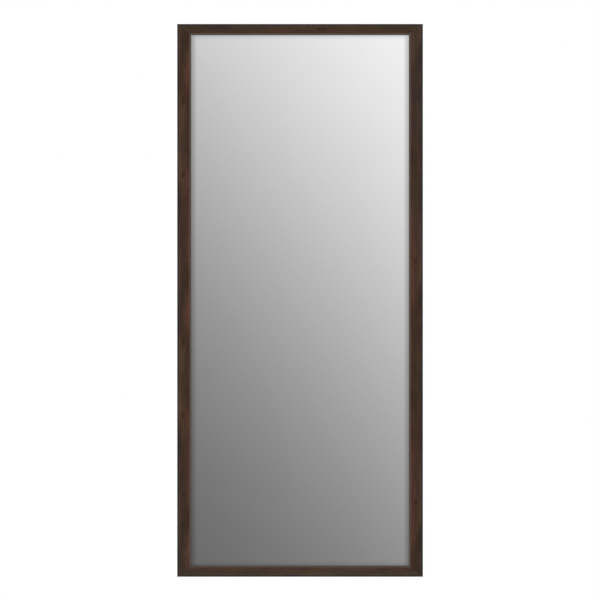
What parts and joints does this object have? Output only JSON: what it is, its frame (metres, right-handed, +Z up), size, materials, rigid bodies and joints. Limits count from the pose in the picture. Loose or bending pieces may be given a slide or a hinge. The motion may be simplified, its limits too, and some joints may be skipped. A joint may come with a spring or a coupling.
{
  "type": "wall mirror",
  "caption": "Tall rectangular wall mirror: bevelled glass in a dark wood moulding with mitred corners, hardboard back, hinged D-ring strap hangers and rubber bumpers.",
  "frame": {"origin": "middle of the mirror in the wall plane, which is the plane of the four bumper faces", "axes": "+X to the right seen from the front, +Y from the mirror into the wall, +Z up"},
  "size_m": [0.8, 0.033, 1.8],
  "materials": {
    "frame_wood": "dark brown knotty wood grain, satin; pale board showing inside the rabbet and on the back",
    "mirror": "polished silvered glass with a soft ground bevel",
    "hardboard": "brown hardboard, smooth side out",
    "foam": "black closed-cell foam tape",
    "rubber": "matt black rubber",
    "zinc_sheet": "pressed steel sheet, bright zinc plated",
    "zinc_wire": "bent steel wire, bright zinc plated",
    "screw_steel": "zinc plated, slightly yellow",
    "spring_steel": "bare spring steel"
  },
  "bodies": {
    "frame": {"stile_left": "frame_wood", "stile_right": "frame_wood", "rail_top": "frame_wood", "rail_bottom": "frame_wood", "mirror_glass": "mirror", "backing_board": "hardboard", "cushion_left": "foam", "points_left": "spring_steel", "cushion_right": "foam", "points_right": "spring_steel", "cushion_top": "foam", "points_top": "spring_steel", "cushion_bottom": "foam", "points_bottom": "spring_steel", "setting_block_left": "rubber", "hanger_strap_left": "zinc_sheet", "hanger_screws_left": "screw_steel", "setting_block_right": "rubber", "hanger_strap_right": "zinc_sheet", "hanger_screws_right": "screw_steel", "corner_brace_top_left": "zinc_sheet", "brace_screws_top_left": "screw_steel", "corner_nails_top_left": "spring_steel", "wall_bumper_top_left": "rubber", "corner_brace_top_right": "zinc_sheet", "brace_screws_top_right": "screw_steel", "corner_nails_top_right": "spring_steel", "wall_bumper_top_right": "rubber", "corner_brace_bottom_left": "zinc_sheet", "brace_screws_bottom_left": "screw_steel", "corner_nails_bottom_left": "spring_steel", "wall_bumper_bottom_left": "rubber", "corner_brace_bottom_right": "zinc_sheet", "brace_screws_bottom_right": "screw_steel", "corner_nails_bottom_right": "spring_steel", "wall_bumper_bottom_right": "rubber"},
    "ring_left": {"hanger_ring_left": "zinc_wire"},
    "ring_right": {"hanger_ring_right": "zinc_wire"}
  },
  "joints": [
    {"name": "ring_left_hinge", "type": "hinge", "parent": "frame", "child": "ring_left", "pos_m": [-0.38429, -0.00475, 0.65], "axis": [-1, 0, 0], "range_deg": [0, 178]},
    {"name": "ring_right_hinge", "type": "hinge", "parent": "frame", "child": "ring_right", "pos_m": [0.38429, -0.00475, 0.65], "axis": [-1, 0, 0], "range_deg": [0, 178]}
  ]
}
